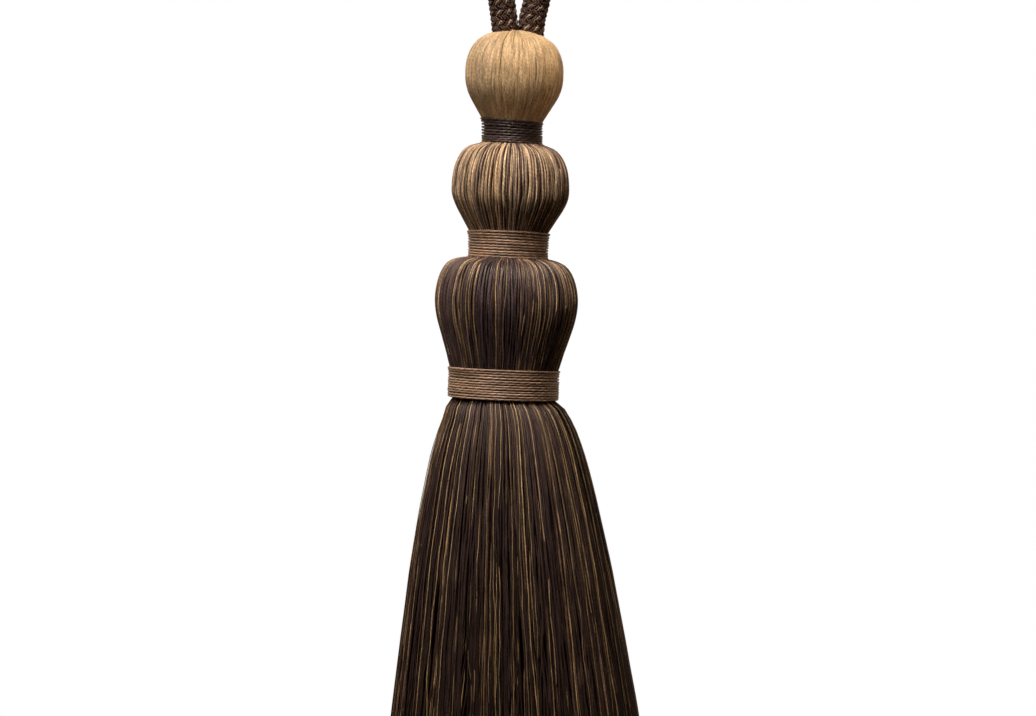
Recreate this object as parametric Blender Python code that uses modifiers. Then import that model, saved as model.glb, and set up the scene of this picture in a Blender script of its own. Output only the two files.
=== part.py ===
"""A hanging tassel: braided cord loop, a head of three yarn balls between wound bindings, and a skirt.

Metres, +Z up. The origin is where the tassel hangs: the top of the inside of its cord loop.
The front faces -Y. The head leans a little to the right at its top, and the skirt hangs plumb.
"""

import math
import random
from collections import namedtuple

import bmesh
import bpy
from mathutils import Matrix, Vector

# Clearance that neighbouring pieces keep.
GAP = 0.0003

# The whole head: where its crown is below the hanging point, and how it leans.
CROWN_DROP = 0.079
CROWN_X = -0.0011
HEAD_LEAN = math.radians(2.0)

# The hanging cord: a braid doubled into a loop, with both ends in the crown.
CORD_DIAMETER = 0.0090
CORD_SIDES_RESOLUTION = 3
CORD_STEPS_PER_SPAN = 2
RoutePoint = namedtuple("RoutePoint", "x y above_crown")
CORD_ROUTE = (
    RoutePoint(-0.0050, -0.0008, 0.0017),
    RoutePoint(-0.0053, -0.0008, 0.0055),
    RoutePoint(-0.0060, -0.0008, 0.0112),
    RoutePoint(-0.0074, -0.0007, 0.0200),
    RoutePoint(-0.0098, -0.0006, 0.0300),
    RoutePoint(-0.0132, -0.0005, 0.0400),
    RoutePoint(-0.0166, -0.0004, 0.0500),
    RoutePoint(-0.0189, -0.0003, 0.0595),
    RoutePoint(-0.0190, -0.0002, 0.0685),
    RoutePoint(-0.0157, -0.0001, 0.0765),
    RoutePoint(-0.0090, 0.0000, 0.0818),
    RoutePoint(0.0000, 0.0001, 0.0835),
    RoutePoint(0.0090, 0.0002, 0.0818),
    RoutePoint(0.0157, 0.0003, 0.0765),
    RoutePoint(0.0190, 0.0004, 0.0685),
    RoutePoint(0.0189, 0.0005, 0.0595),
    RoutePoint(0.0166, 0.0006, 0.0500),
    RoutePoint(0.0132, 0.0007, 0.0400),
    RoutePoint(0.0099, 0.0008, 0.0300),
    RoutePoint(0.0077, 0.0008, 0.0200),
    RoutePoint(0.0060, 0.0008, 0.0112),
    RoutePoint(0.0048, 0.0008, 0.0055),
    RoutePoint(0.0044, 0.0008, 0.0017),
)

# The three balls, from the top down. A profile gives the radius at each depth below the ball's top.
Level = namedtuple("Level", "depth radius")
Ball = namedtuple("Ball", "name height neck_radius ribs rib_depth colour profile")
BALLS = (
    Ball(
        name="ball_upper",
        height=0.0294,
        neck_radius=0.0081,
        ribs=30,
        rib_depth=0.00040,
        colour="#c9a070",
        profile=(
            Level(-0.0013, 0.0000),
            Level(-0.0011, 0.0040),
            Level(-0.0004, 0.0074),
            Level(0.0010, 0.0103),
            Level(0.0030, 0.0131),
            Level(0.0064, 0.0154),
            Level(0.0102, 0.0165),
            Level(0.0140, 0.0167),
            Level(0.0176, 0.0164),
            Level(0.0212, 0.0152),
            Level(0.0252, 0.0129),
            Level(0.0294, 0.0103),
        ),
    ),
    Ball(
        name="ball_middle",
        height=0.0291,
        neck_radius=0.0113,
        ribs=30,
        rib_depth=0.00060,
        colour="#9a7a5c",
        profile=(
            Level(0.0000, 0.0000),
            Level(0.0000, 0.0118),
            Level(0.0004, 0.0135),
            Level(0.0018, 0.0158),
            Level(0.0042, 0.0177),
            Level(0.0080, 0.0193),
            Level(0.0132, 0.0200),
            Level(0.0172, 0.0198),
            Level(0.0210, 0.0185),
            Level(0.0248, 0.0163),
            Level(0.0291, 0.0134),
        ),
    ),
    Ball(
        name="ball_lower",
        height=0.0368,
        neck_radius=0.0000,
        ribs=30,
        rib_depth=0.00070,
        colour="#4a3833",
        profile=(
            Level(0.0000, 0.0000),
            Level(0.0000, 0.0150),
            Level(0.0006, 0.0172),
            Level(0.0020, 0.0198),
            Level(0.0050, 0.0221),
            Level(0.0094, 0.0237),
            Level(0.0145, 0.0243),
            Level(0.0200, 0.0237),
            Level(0.0262, 0.0220),
            Level(0.0316, 0.0203),
            Level(0.0368, 0.0186),
        ),
    ),
)

# How far a crest or a groove between ribs may depart from the rest, as a share of the groove's depth.
RIB_UNEVENNESS = 0.3
BALL_CREASE_ANGLE = math.radians(50)

# The three bindings, each wound under the ball of the same place in the list above.
Binding = namedtuple("Binding", "name height radius wall turns sides colour")
BINDINGS = (
    Binding("binding_upper", 0.0081, 0.0103, 0.0019, 9, 28, "#3f3331"),
    Binding("binding_middle", 0.0085, 0.0136, 0.0019, 9, 32, "#80654f"),
    Binding("binding_lower", 0.0104, 0.0189, 0.0021, 12, 36, "#85684f"),
)
TURN_GROOVE = 0.00028
TURN_UNEVENNESS = 0.00010

# The skirt: radius and sideways drift of the whole bundle at each depth below the lower binding.
Flare = namedtuple("Flare", "depth radius drift")
SKIRT_FLARE = (
    Flare(0.0000, 0.0187, 0.0001),
    Flare(0.0022, 0.0198, 0.0008),
    Flare(0.0042, 0.0208, 0.0011),
    Flare(0.0072, 0.0222, 0.0014),
    Flare(0.0112, 0.0239, 0.0015),
    Flare(0.0162, 0.0256, 0.0016),
    Flare(0.0212, 0.0270, 0.0017),
    Flare(0.0362, 0.0305, 0.0021),
    Flare(0.0562, 0.0345, 0.0026),
    Flare(0.0762, 0.0377, 0.0031),
    Flare(0.1080, 0.0425, 0.0039),
    Flare(0.1465, 0.0468, 0.0046),
)
SKIRT_COLOUR = "#3d2d27"
ROOT_FLANGE = 0.0014
FLANGE_CHAMFER = 0.0006
LOCKS_ACROSS = 15
ROOT_CLEARANCE = 0.00035
HEM_FILL = 0.84
HEM_UNEVENNESS = 0.0022
LOCK_SWAY = 0.0006
LOCK_TWIST = math.radians(9.0)
# Depths at which a lock bends, from the outermost ring of locks inwards. Inner locks hang straight.
OUTER_BENDS = (0.0080, 0.0240, 0.0700)
SECOND_BENDS = (0.0240, 0.0700)

SEED = 11
ROUGHNESS = 0.85


def srgb_to_linear(hex_colour):
    """The linear RGBA of an sRGB hex colour."""
    values = [int(hex_colour[i : i + 2], 16) / 255 for i in (1, 3, 5)]
    return [v / 12.92 if v <= 0.04045 else ((v + 0.055) / 1.055) ** 2.4 for v in values] + [1.0]


def yarn_material(name, hex_colour):
    """A matt yarn colour."""
    material = bpy.data.materials.new(name + "_yarn")
    material.use_nodes = True
    shader = material.node_tree.nodes["Principled BSDF"]
    shader.inputs["Base Color"].default_value = srgb_to_linear(hex_colour)
    shader.inputs["Roughness"].default_value = ROUGHNESS
    shader.inputs["Metallic"].default_value = 0.0
    return material


def add_piece(name, mesh, hex_colour, parent=None):
    """Link one named piece with its own material, in the tassel's collection."""
    piece = bpy.data.objects.new(name, mesh)
    mesh.materials.append(yarn_material(name, hex_colour))
    TASSEL.objects.link(piece)
    piece.parent = parent
    return piece


def turned_mesh(profile, steps):
    """A bmesh turned from an outline of (radius, height) points about the Z axis."""
    bm = bmesh.new()
    points = [bm.verts.new((radius, 0.0, height)) for radius, height in profile]
    edges = [bm.edges.new(pair) for pair in zip(points, points[1:])]
    bmesh.ops.spin(
        bm, geom=points + edges, cent=(0, 0, 0), axis=(0, 0, 1), angle=math.tau, steps=steps, use_merge=True
    )
    bmesh.ops.remove_doubles(bm, verts=bm.verts[:], dist=1e-6)
    bmesh.ops.recalc_face_normals(bm, faces=bm.faces[:])
    return bm


def raise_ribs(bm, ball, rng):
    """Sink every other meridian of a ball, each by its own amount, so that the yarn bands stand up as ribs."""
    steps = 2 * ball.ribs
    sinks = []
    for _ in range(ball.ribs):
        sinks.append(ball.rib_depth * rng.uniform(-RIB_UNEVENNESS, RIB_UNEVENNESS))
        sinks.append(ball.rib_depth * rng.uniform(1.0 - RIB_UNEVENNESS, 1.0 + RIB_UNEVENNESS))
    widest = max(level.radius for level in ball.profile)
    for vert in bm.verts:
        radius = math.hypot(vert.co.x, vert.co.y)
        depth = -vert.co.z
        if radius < 1e-6 or not 0.0 < depth < ball.height:
            continue
        step = round(math.atan2(vert.co.y, vert.co.x) / math.tau * steps) % steps
        along = math.sin(math.pi * depth / ball.height) ** 0.5
        shrink = 1.0 - sinks[step] * along * (radius / widest) / radius
        vert.co.x *= shrink
        vert.co.y *= shrink


def make_ball(ball, neck_length, top, head, rng):
    """One yarn ball with its neck, which goes down through the binding under it."""
    outline = [(level.radius, -level.depth) for level in ball.profile]
    if ball.neck_radius:
        outline.append((ball.neck_radius, -ball.height))
        outline.append((ball.neck_radius, -ball.height - neck_length))
        outline.append((0.0, -ball.height - neck_length))
    else:
        outline.append((0.0, -ball.height))
    bm = turned_mesh(outline, 2 * ball.ribs)
    raise_ribs(bm, ball, rng)
    mesh = bpy.data.meshes.new(ball.name)
    bm.to_mesh(mesh)
    bm.free()
    mesh.shade_smooth()
    mesh.set_sharp_from_angle(angle=BALL_CREASE_ANGLE)
    piece = add_piece(ball.name, mesh, ball.colour, head)
    piece.location.z = -top
    return piece


def make_binding(binding, top, head, rng):
    """One wound binding: a ring whose outer side shows each turn of the yarn."""
    inner = binding.radius - binding.wall
    pitch = binding.height / binding.turns
    outline = [(inner, 0.0)]
    for turn in range(binding.turns):
        crest = binding.radius + rng.uniform(-TURN_UNEVENNESS, TURN_UNEVENNESS)
        outline.append((binding.radius - TURN_GROOVE, -turn * pitch))
        outline.append((crest, -(turn + 0.5) * pitch))
    outline.append((binding.radius - TURN_GROOVE, -binding.height))
    outline.append((inner, -binding.height))
    mesh = bpy.data.meshes.new(binding.name)
    bm = bmesh.new()
    points = [bm.verts.new((radius, 0.0, height)) for radius, height in outline]
    for pair in zip(points, points[1:] + points[:1]):
        bm.edges.new(pair)
    bm.to_mesh(mesh)
    bm.free()
    piece = add_piece(binding.name, mesh, binding.colour, head)
    piece.location.z = -top
    screw = piece.modifiers.new("turned", "SCREW")
    screw.steps = binding.sides
    screw.render_steps = binding.sides
    screw.use_merge_vertices = True
    screw.merge_threshold = 0.00001
    screw.use_smooth_shade = True
    screw.use_normal_calculate = True
    return piece


def flare_at(depth):
    """The skirt's radius and drift at a depth, between the two nearest rows of its table."""
    for upper, lower in zip(SKIRT_FLARE, SKIRT_FLARE[1:]):
        if depth <= lower.depth:
            share = (depth - upper.depth) / (lower.depth - upper.depth)
            return (
                upper.radius + share * (lower.radius - upper.radius),
                upper.drift + share * (lower.drift - upper.drift),
            )
    return SKIRT_FLARE[-1].radius, SKIRT_FLARE[-1].drift


def square_to_disc(x, y):
    """Carry a point of the square from -1 to 1 onto the unit disc, ring by ring."""
    if abs(x) > abs(y):
        reach, angle = x, math.pi / 4 * y / x
    elif y:
        reach, angle = y, math.pi / 2 - math.pi / 4 * x / y
    else:
        return 0.0, 0.0
    return reach * math.cos(angle), reach * math.sin(angle)


def raise_rim(bm, rim, scale, height):
    """Extrude the open rim of the backing inwards or outwards, and up to a height."""
    grown = bmesh.ops.extrude_edge_only(bm, edges=rim)["geom"]
    verts = [item for item in grown if isinstance(item, bmesh.types.BMVert)]
    for vert in verts:
        vert.co = Vector((vert.co.x * scale, vert.co.y * scale, height))
    return [item for item in grown if isinstance(item, bmesh.types.BMEdge) and item.is_boundary]


def backing_with_cells(neck_radius, neck_length):
    """The fused roots: a stem inside the lower binding and a flange under it, with a cell for each lock."""
    root_radius = SKIRT_FLARE[0].radius
    bm = bmesh.new()
    bmesh.ops.create_grid(bm, x_segments=LOCKS_ACROSS, y_segments=LOCKS_ACROSS, size=1.0)
    half = LOCKS_ACROSS // 2
    cells = []
    for face in bm.faces[:]:
        middle = face.calc_center_median()
        ring = round(max(abs(middle.x), abs(middle.y)) * LOCKS_ACROSS / 2)
        cells.append((face, half - ring))
    for vert in bm.verts:
        x, y = square_to_disc(vert.co.x, vert.co.y)
        vert.co = Vector((x * root_radius, y * root_radius, -GAP - ROOT_FLANGE))
    bmesh.ops.reverse_faces(bm, faces=bm.faces[:])
    rim = [edge for edge in bm.edges if edge.is_boundary]
    flange_top_radius = root_radius - FLANGE_CHAMFER
    rim = raise_rim(bm, rim, flange_top_radius / root_radius, -GAP)
    rim = raise_rim(bm, rim, neck_radius / flange_top_radius, -GAP)
    rim = raise_rim(bm, rim, 1.0, neck_length)
    bmesh.ops.contextual_create(bm, geom=rim)
    return bm, cells


def hang_lock(bm, face, bends, hem_depth, rng):
    """Draw one lock down from its root cell, through its bends, to its end at the hem."""
    root_radius = SKIRT_FLARE[0].radius
    root = face.calc_center_median()
    corners = [vert.co - root for vert in face.verts]
    sway_angle = rng.uniform(0.0, math.tau)
    twist = rng.uniform(-LOCK_TWIST, LOCK_TWIST)
    for depth in bends + (hem_depth,):
        share = depth / hem_depth
        radius, drift = flare_at(min(depth, SKIRT_FLARE[-1].depth))
        spread = radius / root_radius
        fill = spread * (1.0 + share * (HEM_FILL - 1.0))
        sway = LOCK_SWAY * share
        centre = Vector((root.x * spread + drift, root.y * spread, -depth))
        centre += Vector((sway * math.cos(sway_angle), sway * math.sin(sway_angle), 0.0))
        turn = Matrix.Rotation(twist * share, 3, "Z")
        face = bmesh.ops.extrude_discrete_faces(bm, faces=[face])["faces"][0]
        for vert, corner in zip(face.verts, corners):
            offset = turn @ Vector((corner.x * fill, corner.y * fill, 0.0))
            vert.co = centre + offset


def make_skirt(neck_radius, neck_length, root_place, rng):
    """The skirt: separate locks from one backing, which leans with the head while the locks hang plumb."""
    bm, cells = backing_with_cells(neck_radius, neck_length)
    faces = [face for face, _ in cells]
    bmesh.ops.inset_individual(bm, faces=faces, thickness=ROOT_CLEARANCE / 2, use_even_offset=True)
    bmesh.ops.rotate(bm, verts=bm.verts[:], cent=(0, 0, 0), matrix=Matrix.Rotation(HEAD_LEAN, 3, "Y"))
    bends_by_ring = {0: OUTER_BENDS, 1: SECOND_BENDS}
    for face, ring in cells:
        hem_depth = SKIRT_FLARE[-1].depth + rng.uniform(-HEM_UNEVENNESS, 0.0)
        hang_lock(bm, face, bends_by_ring.get(ring, ()), hem_depth, rng)
    bmesh.ops.recalc_face_normals(bm, faces=bm.faces[:])
    mesh = bpy.data.meshes.new("skirt")
    bm.to_mesh(mesh)
    bm.free()
    piece = add_piece("skirt", mesh, SKIRT_COLOUR)
    piece.location = root_place
    return piece


def smooth_route(points, steps):
    """Points of a Catmull-Rom curve through the route's own points."""
    padded = [2 * points[0] - points[1], *points, 2 * points[-1] - points[-2]]
    smooth = []
    for before, start, end, after in zip(padded, padded[1:], padded[2:], padded[3:]):
        for step in range(steps):
            t = step / steps
            smooth.append(
                0.5
                * (
                    2 * start
                    + (end - before) * t
                    + (2 * before - 5 * start + 4 * end - after) * t**2
                    + (3 * start - before - 3 * end + after) * t**3
                )
            )
    return smooth + [points[-1]]


def make_cord():
    """The hanging cord as a plain tube along its loop."""
    route = [Vector((point.x, point.y, point.above_crown - CROWN_DROP)) for point in CORD_ROUTE]
    smooth = smooth_route(route, CORD_STEPS_PER_SPAN)
    curve = bpy.data.curves.new("cord_loop", "CURVE")
    curve.dimensions = "3D"
    curve.bevel_depth = CORD_DIAMETER / 2
    curve.bevel_resolution = CORD_SIDES_RESOLUTION
    curve.use_fill_caps = True
    spline = curve.splines.new("POLY")
    spline.points.add(len(smooth) - 1)
    for point, place in zip(spline.points, smooth):
        point.co = (*place, 1.0)
    return add_piece("cord_loop", curve, "#4a3833")


for old in list(bpy.data.objects):
    bpy.data.objects.remove(old, do_unlink=True)

TASSEL = bpy.data.collections.new("tassel")
bpy.context.scene.collection.children.link(TASSEL)

uneven = random.Random(SEED)

head_axis = bpy.data.objects.new("head_axis", None)
head_axis.location = (CROWN_X, 0.0, -CROWN_DROP)
head_axis.rotation_euler.y = HEAD_LEAN
TASSEL.objects.link(head_axis)

make_cord()
depth = 0.0
for ball_row, binding_row in zip(BALLS, BINDINGS):
    make_ball(ball_row, binding_row.height + 2 * GAP, depth, head_axis, uneven)
    depth += ball_row.height + GAP
    make_binding(binding_row, depth, head_axis, uneven)
    depth += binding_row.height + GAP

# The skirt's root is on the head's axis, at the foot of the lower binding.
foot = depth - GAP
skirt_root = Vector((CROWN_X - foot * math.sin(HEAD_LEAN), 0.0, -CROWN_DROP - foot * math.cos(HEAD_LEAN)))
lower = BINDINGS[-1]
make_skirt(lower.radius - lower.wall - GAP, lower.height, skirt_root, uneven)
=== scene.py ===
import math
import random

import bmesh
import bpy
import numpy as np
from mathutils import Matrix, Vector


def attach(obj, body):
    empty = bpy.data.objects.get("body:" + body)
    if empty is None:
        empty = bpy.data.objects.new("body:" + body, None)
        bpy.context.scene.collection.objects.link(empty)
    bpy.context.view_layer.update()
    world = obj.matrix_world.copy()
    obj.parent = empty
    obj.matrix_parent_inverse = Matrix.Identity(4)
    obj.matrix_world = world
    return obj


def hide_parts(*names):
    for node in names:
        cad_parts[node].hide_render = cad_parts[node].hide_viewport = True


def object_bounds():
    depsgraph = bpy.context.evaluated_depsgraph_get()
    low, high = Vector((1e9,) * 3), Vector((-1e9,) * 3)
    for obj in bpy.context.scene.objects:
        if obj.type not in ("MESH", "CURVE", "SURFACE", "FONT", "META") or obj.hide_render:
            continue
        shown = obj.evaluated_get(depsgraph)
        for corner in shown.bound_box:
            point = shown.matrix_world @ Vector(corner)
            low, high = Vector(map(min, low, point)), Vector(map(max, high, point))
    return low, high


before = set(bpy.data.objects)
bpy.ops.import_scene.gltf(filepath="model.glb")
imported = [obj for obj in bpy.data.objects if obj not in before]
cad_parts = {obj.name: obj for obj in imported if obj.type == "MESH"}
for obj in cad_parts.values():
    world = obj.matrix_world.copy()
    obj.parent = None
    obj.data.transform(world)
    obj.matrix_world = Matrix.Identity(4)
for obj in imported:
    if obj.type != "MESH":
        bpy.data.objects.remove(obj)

cad_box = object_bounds()
scene = bpy.context.scene

# The studio: a long lens a little above the middle of the tassel, a large soft key light high on the
# left, a narrow one in front for the lower head and the skirt, and a small warm one from the right for
# the upper ball. A warm sky fills weakly, and the backdrop and the floor are white.
PHOTO_WIDTH_PX = 1036
PHOTO_HEIGHT_PX = 716
METRES_PER_PX = 0.000339
HANGING_POINT_PX = (519, -199)
CAMERA_DISTANCE = 2.0
CAMERA_ELEVATION = math.radians(2.0)
SENSOR_WIDTH = 36.0

picture_middle = Vector((
    (PHOTO_WIDTH_PX / 2 - HANGING_POINT_PX[0]) * METRES_PER_PX,
    0.0,
    -(PHOTO_HEIGHT_PX / 2 - HANGING_POINT_PX[1]) * METRES_PER_PX,
))
camera_data = bpy.data.cameras.new("long_lens")
camera_data.sensor_width = SENSOR_WIDTH
camera_data.lens = SENSOR_WIDTH * CAMERA_DISTANCE / (PHOTO_WIDTH_PX * METRES_PER_PX)
camera = bpy.data.objects.new("long_lens", camera_data)
towards_camera = Vector((0.0, -math.cos(CAMERA_ELEVATION), math.sin(CAMERA_ELEVATION)))
camera.location = picture_middle + CAMERA_DISTANCE * towards_camera
camera.rotation_euler = (math.pi / 2 - CAMERA_ELEVATION, 0.0, 0.0)
scene.collection.objects.link(camera)
scene.camera = camera
scene.view_settings.view_transform = "Standard"


def add_light(name, place, aim, size, power, beam, colour=(1.0, 1.0, 1.0)):
    """A square softbox at a place, turned to what it lights, with a grid that narrows its beam."""
    data = bpy.data.lights.new(name, "AREA")
    data.size = size
    data.energy = power
    data.color = colour
    data.spread = math.radians(beam)
    softbox = bpy.data.objects.new(name, data)
    softbox.location = place
    softbox.rotation_euler = (Vector(aim) - Vector(place)).to_track_quat("-Z", "Y").to_euler()
    scene.collection.objects.link(softbox)


# The small light from the right and the fill are a warm white, as light thrown back by golden yarn is.
WARM_WHITE = (1.0, 0.78, 0.58)
add_light(
    "key_softbox", place=(-0.075, -0.165, 0.32), aim=(0.0, 0.0, -0.05), size=0.20, power=0.25, beam=44.0
)
add_light(
    "front_softbox", place=(-0.17, -0.38, 0.21), aim=(0.0, 0.0, -0.19), size=0.15, power=0.030, beam=24.0
)
add_light(
    "crown_snoot", place=(0.34, -0.30, -0.02), aim=(0.004, 0.0, -0.086), size=0.03, power=0.0014,
    beam=8.0, colour=WARM_WHITE,
)

# The sky's fill grows with the height of a direction, and the backdrop's glow with how far it points back.
WORLD_SEEN = 1.0
SKY_ABOVE = 0.2
SKY_STARTS_AT = -0.2
SKY_FULL_AT = 1.0
BACKDROP_GLOW = 0.55
BACKDROP_STARTS_AT = 0.1
BACKDROP_FULL_AT = 0.8
WHITE = (1.0, 1.0, 1.0, 1.0)


def add_node(tree, kind, inputs=None, **settings):
    """Add a shader node with its settings. Each input gets a value, or a link from (node, output)."""
    node = tree.nodes.new(kind)
    for name, value in settings.items():
        setattr(node, name, value)
    for name, source in (inputs or {}).items():
        if isinstance(source, tuple) and isinstance(source[0], bpy.types.Node):
            tree.links.new(source[0].outputs[source[1]], node.inputs[name])
        else:
            node.inputs[name].default_value = source
    return node


world = bpy.data.worlds.new("studio")
scene.world = world
world.use_nodes = True
sky = world.node_tree
sky.nodes.clear()
direction = add_node(sky, "ShaderNodeTexCoord")
parts = add_node(sky, "ShaderNodeSeparateXYZ", {"Vector": (direction, "Generated")})
ceiling = add_node(sky, "ShaderNodeMapRange", {
    "Value": (parts, "Z"), "From Min": SKY_STARTS_AT, "From Max": SKY_FULL_AT,
    "To Min": 0.0, "To Max": SKY_ABOVE,
})
backdrop = add_node(sky, "ShaderNodeMapRange", {
    "Value": (parts, "Y"), "From Min": BACKDROP_STARTS_AT, "From Max": BACKDROP_FULL_AT,
    "To Min": 0.0, "To Max": BACKDROP_GLOW,
})
glow = add_node(sky, "ShaderNodeMath", {0: (ceiling, "Result"), 1: (backdrop, "Result")}, operation="ADD")
fill = add_node(sky, "ShaderNodeBackground", {"Color": (*WARM_WHITE, 1.0), "Strength": (glow, "Value")})
seen = add_node(sky, "ShaderNodeBackground", {"Color": WHITE, "Strength": WORLD_SEEN})
ray = add_node(sky, "ShaderNodeLightPath")
both = add_node(sky, "ShaderNodeMixShader", {
    0: (ray, "Is Camera Ray"), 1: (fill, "Background"), 2: (seen, "Background"),
})
add_node(sky, "ShaderNodeOutputWorld", {"Surface": (both, "Shader")})

FLOOR_SIZE = 12.0
FLOOR_DROP = 0.12
floor_mesh = bpy.data.meshes.new("floor")
bm = bmesh.new()
bmesh.ops.create_grid(bm, x_segments=1, y_segments=1, size=FLOOR_SIZE / 2)
bmesh.ops.translate(bm, verts=bm.verts[:], vec=(0.0, 0.0, cad_box[0].z - FLOOR_DROP))
bm.to_mesh(floor_mesh)
bm.free()
# White paper, lit evenly: it gives the eye a plain white ground with no shadow.
white_paper = bpy.data.materials.new("white_paper")
white_paper.use_nodes = True
white_paper.node_tree.nodes.clear()
lit = add_node(white_paper.node_tree, "ShaderNodeEmission", {"Color": WHITE, "Strength": 1.0})
add_node(white_paper.node_tree, "ShaderNodeOutputMaterial", {"Surface": (lit, "Emission")})
floor_mesh.materials.append(white_paper)
floor = bpy.data.objects.new("floor", floor_mesh)
floor.visible_diffuse = False
floor.visible_glossy = False
scene.collection.objects.link(floor)

# The hanging cord: a hollow braid of 16 carriers, 8 each way round, over a soft core. Each carrier
# lays three yarns side by side, dark brown but for one tan yarn in those that climb to the right.
# Both ends go into the crown of the upper ball.
CROWN_DROP = 0.079
CORD_DIAMETER = 0.0090
# The cord's middle line from its left end over the loop to its right end: x, y, height above the crown.
CORD_ROUTE = [
    (-0.0047, -0.0008, 0.0017), (-0.0051, -0.0008, 0.0055), (-0.0059, -0.0008, 0.0112),
    (-0.0074, -0.0007, 0.0200), (-0.0098, -0.0006, 0.0300), (-0.0132, -0.0005, 0.0400),
    (-0.0166, -0.0004, 0.0500), (-0.0189, -0.0003, 0.0595), (-0.0190, -0.0002, 0.0685),
    (-0.0157, -0.0001, 0.0765), (-0.0090, 0.0000, 0.0818), (0.0000, 0.0001, 0.0835),
    (0.0090, 0.0002, 0.0818), (0.0157, 0.0003, 0.0765), (0.0190, 0.0004, 0.0685),
    (0.0189, 0.0005, 0.0595), (0.0166, 0.0006, 0.0500), (0.0132, 0.0007, 0.0400),
    (0.0099, 0.0008, 0.0300), (0.0077, 0.0008, 0.0200), (0.0060, 0.0008, 0.0112),
    (0.0046, 0.0008, 0.0055), (0.0041, 0.0008, 0.0017),
]
ROUTE_STEPS = 12
CORD_TAIL = 0.0035
CARRIERS_EACH_WAY = 8
ENDS_PER_CARRIER = 3
TAN_END = 1
BRAID_LAY = 0.0285
BRAID_YARN_HALF_WIDTH = 0.00036
BRAID_YARN_HALF_HEIGHT = 0.00027
BRAID_YARN_SIDES = 5
BRAID_WAVE = 0.00036
BRAID_END_SPACING = 0.00066
RINGS_PER_STITCH = 7
CORE_SIDES = 16
CORE_SHADE = 0.5
PLY_PITCH = 0.0014
LATEST_PLY_START = 200
DARK_YARN = "#44302b"
CORD_BROWN = "#584239"
TAN_YARN = "#ad9279"
BRAID_TONES = (0.7, 1.25)


def linear(hex_colour):
    """Linear RGB of an sRGB hex colour."""
    values = np.array([int(hex_colour[i : i + 2], 16) / 255 for i in (1, 3, 5)])
    return np.where(values <= 0.04045, values / 12.92, ((values + 0.055) / 1.055) ** 2.4)


def unit(vectors):
    """The same vectors at length one."""
    return vectors / np.linalg.norm(vectors, axis=-1, keepdims=True)


def yarn_template(name, rings, sides):
    """A straight yarn as a mesh: its rings climb Z by whole numbers, and its UV runs round and along."""
    bm = bmesh.new()
    bmesh.ops.create_circle(bm, segments=sides, radius=1.0)
    loop = list(bm.edges)
    for ring in range(1, rings):
        grown = bmesh.ops.extrude_edge_only(bm, edges=loop)["geom"]
        verts = [item for item in grown if isinstance(item, bmesh.types.BMVert)]
        bmesh.ops.translate(bm, verts=verts, vec=(0.0, 0.0, 1.0))
        loop = [item for item in grown if isinstance(item, bmesh.types.BMEdge) and item.is_boundary]
    bmesh.ops.holes_fill(bm, edges=[edge for edge in bm.edges if edge.is_boundary], sides=0)
    bmesh.ops.recalc_face_normals(bm, faces=bm.faces[:])
    uv = bm.loops.layers.uv.new("along")
    for face in bm.faces:
        middle = face.calc_center_median()
        towards = math.atan2(middle.y, middle.x)
        for corner in face.loops:
            place = corner.vert.co
            swing = math.remainder(math.atan2(place.y, place.x) - towards, math.tau)
            corner[uv].uv = ((towards + swing) / math.tau, place.z / (rings - 1))
    mesh = bpy.data.meshes.new(name)
    bm.to_mesh(mesh)
    bm.free()
    mesh.shade_smooth()
    return mesh


def lay_yarns(name, lines, outward, half_width, half_height, dye, sides=6, pitch=PLY_PITCH, seed=1):
    """Lay one yarn along each line: an array of straight yarns whose rings are moved onto the lines.

    lines and outward hold a point and a normal for each ring of each yarn, dye a colour for each yarn."""
    count, rings = lines.shape[:2]
    straight = bpy.data.objects.new(name + "_straight", yarn_template(name, rings, sides))
    scene.collection.objects.link(straight)
    copies = straight.modifiers.new("copies", "ARRAY")
    copies.count = count
    copies.use_relative_offset = False
    made = straight.evaluated_get(bpy.context.evaluated_depsgraph_get())
    mesh = bpy.data.meshes.new_from_object(made)
    mesh.name = name
    bpy.data.objects.remove(straight)

    straight_points = np.empty(len(mesh.vertices) * 3)
    mesh.vertices.foreach_get("co", straight_points)
    straight_points = straight_points.reshape(count, -1, 3)
    ring = np.rint(straight_points[..., 2]).astype(int)
    yarn = np.arange(count)[:, None]
    along = unit(np.gradient(lines, axis=1))
    across = unit(np.cross(outward, along))
    out = np.cross(along, across)
    half_width = np.broadcast_to(half_width, (count, rings))
    half_height = np.broadcast_to(half_height, (count, rings))
    sideways = across[yarn, ring] * (half_width[yarn, ring] * straight_points[..., 0])[..., None]
    upwards = out[yarn, ring] * (half_height[yarn, ring] * straight_points[..., 1])[..., None]
    mesh.vertices.foreach_set("co", (lines[yarn, ring] + sideways + upwards).ravel())

    # The UV counts turns of the ply along each yarn, from a chance start.
    draw = np.random.default_rng(seed)
    length = np.linalg.norm(np.diff(lines, axis=1), axis=2).sum(axis=1)
    corners = np.empty(len(mesh.loops) * 2)
    layer = mesh.uv_layers["along"].data
    layer.foreach_get("uv", corners)
    corners = corners.reshape(count, -1, 2)
    start = draw.uniform(0, LATEST_PLY_START, count)
    corners[..., 1] = corners[..., 1] * (length / pitch)[:, None] + start[:, None]
    layer.foreach_set("uv", corners.ravel())

    colours = np.ones((count, straight_points.shape[1], 4))
    colours[..., :3] = dye[:, None, :]
    attribute = mesh.attributes.new("dye", "FLOAT_COLOR", "POINT")
    attribute.data.foreach_set("color", colours.ravel())
    mesh.update()
    return mesh


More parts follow.
